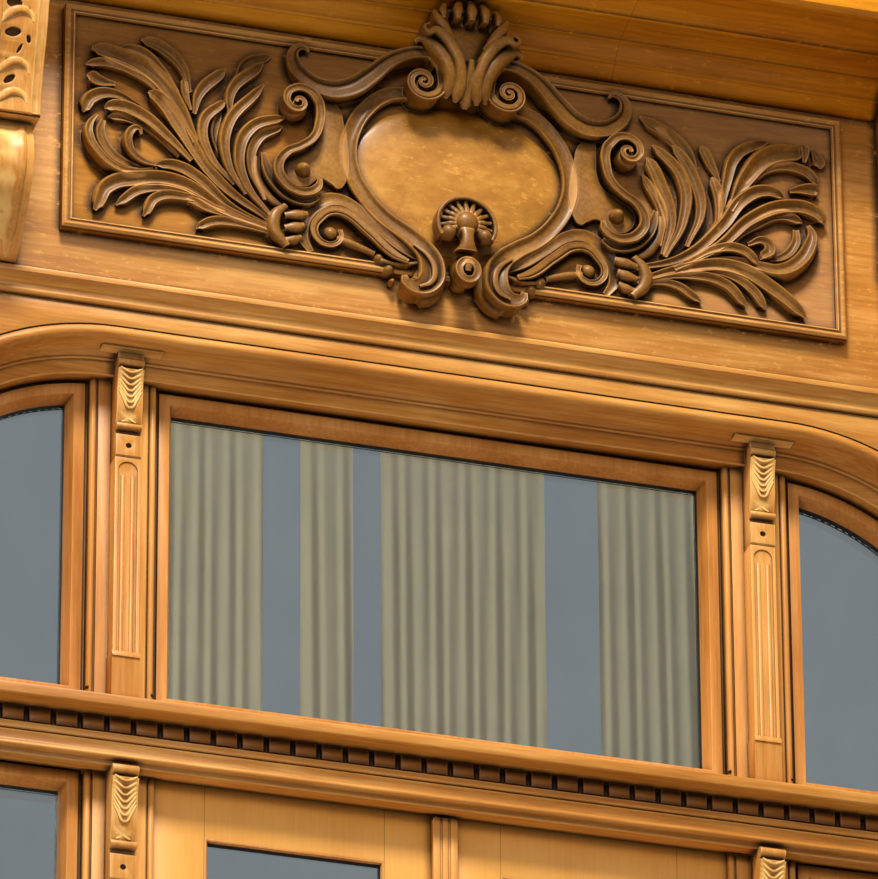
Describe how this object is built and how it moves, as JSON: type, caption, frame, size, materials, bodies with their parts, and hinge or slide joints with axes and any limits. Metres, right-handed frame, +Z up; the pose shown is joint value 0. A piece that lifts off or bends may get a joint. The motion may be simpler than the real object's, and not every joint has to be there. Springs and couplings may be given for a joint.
{
  "type": "timber entrance front with glazed double doors, side lights and carved frieze",
  "caption": "Timber entrance front: glazed double doors between side lights, dentilled transom, shouldered fanlight, carved frieze panel, consoles and cornice.",
  "frame": {"origin": "middle of the doorway on the underside of the threshold, on the glazing line where the splays of the sashes end", "axes": "+Z up, +X to the right seen from the street, +Y into the building"},
  "size_m": [3.72, 0.775, 5.27],
  "materials": {
    "honey_oak": "honey-coloured stained and varnished timber, lightly worn",
    "carved_oak": "darker brown-gold stained carving with worn high edges",
    "threshold_oak": "bare worn hardwood",
    "clear_glass": "clear polished glass",
    "sheer_curtain": "thin greenish cream curtain cloth",
    "brass_fittings": "aged brass"
  },
  "bodies": {
    "surround": {"threshold": "threshold_oak", "left_outer_post": "honey_oak", "right_outer_post": "honey_oak", "left_door_post": "honey_oak", "right_door_post": "honey_oak", "left_fan_post": "honey_oak", "right_fan_post": "honey_oak", "left_door_bracket": "carved_oak", "right_door_bracket": "carved_oak", "left_fan_bracket": "carved_oak", "right_fan_bracket": "carved_oak", "centre_mullion": "honey_oak", "transom_beam": "honey_oak", "transom_moulding": "honey_oak", "dentil_course": "honey_oak", "transom_sill": "honey_oak", "left_side_sash": "honey_oak", "right_side_sash": "honey_oak", "left_side_glass": "clear_glass", "right_side_glass": "clear_glass", "left_apron": "honey_oak", "right_apron": "honey_oak", "left_apron_panel": "honey_oak", "right_apron_panel": "honey_oak", "fan_sash": "honey_oak", "fan_glass": "clear_glass", "left_fan_sash": "honey_oak", "right_fan_sash": "honey_oak", "left_fan_glass": "clear_glass", "right_fan_glass": "clear_glass", "head_beam": "honey_oak", "arch_moulding": "honey_oak", "head_board": "honey_oak", "head_cyma": "honey_oak", "frieze_board": "honey_oak", "frieze_panel": "carved_oak", "cartouche": "carved_oak", "cartouche_boss": "carved_oak", "left_foliage": "carved_oak", "right_foliage": "carved_oak", "left_console_head": "honey_oak", "right_console_head": "honey_oak", "left_console_scroll": "honey_oak", "right_console_scroll": "honey_oak", "cornice_soffit": "honey_oak", "cornice_crown": "honey_oak", "curtain_rod": "brass_fittings", "fan_curtain": "sheer_curtain", "left_post_hinges": "brass_fittings", "right_post_hinges": "brass_fittings"},
    "left_door": {"left_leaf": "honey_oak", "left_leaf_glass": "clear_glass", "left_leaf_panel": "honey_oak", "left_leaf_hinges": "brass_fittings"},
    "right_door": {"right_leaf": "honey_oak", "right_leaf_glass": "clear_glass", "right_leaf_panel": "honey_oak", "right_leaf_hinges": "brass_fittings"},
    "left_handle": {"left_lever": "brass_fittings"},
    "right_handle": {"right_lever": "brass_fittings"}
  },
  "joints": [
    {"name": "left_door_swing", "type": "hinge", "parent": "surround", "child": "left_door", "pos_m": [-0.874, 0.014, 1.2], "axis": [0, 0, 1], "range_deg": [0, 90]},
    {"name": "right_door_swing", "type": "hinge", "parent": "surround", "child": "right_door", "pos_m": [0.874, 0.014, 1.2], "axis": [0, 0, -1], "range_deg": [0, 90]},
    {"name": "left_lever_turn", "type": "hinge", "parent": "left_door", "child": "left_handle", "pos_m": [-0.1005, -0.019, 1.05], "axis": [0, -1, 0], "range_deg": [0, 40], "stiffness_Nm_per_rad": 2, "springref_deg": -28.65},
    {"name": "right_lever_turn", "type": "hinge", "parent": "right_door", "child": "right_handle", "pos_m": [0.1005, -0.019, 1.05], "axis": [0, 1, 0], "range_deg": [0, 40], "stiffness_Nm_per_rad": 2, "springref_deg": -28.65}
  ]
}
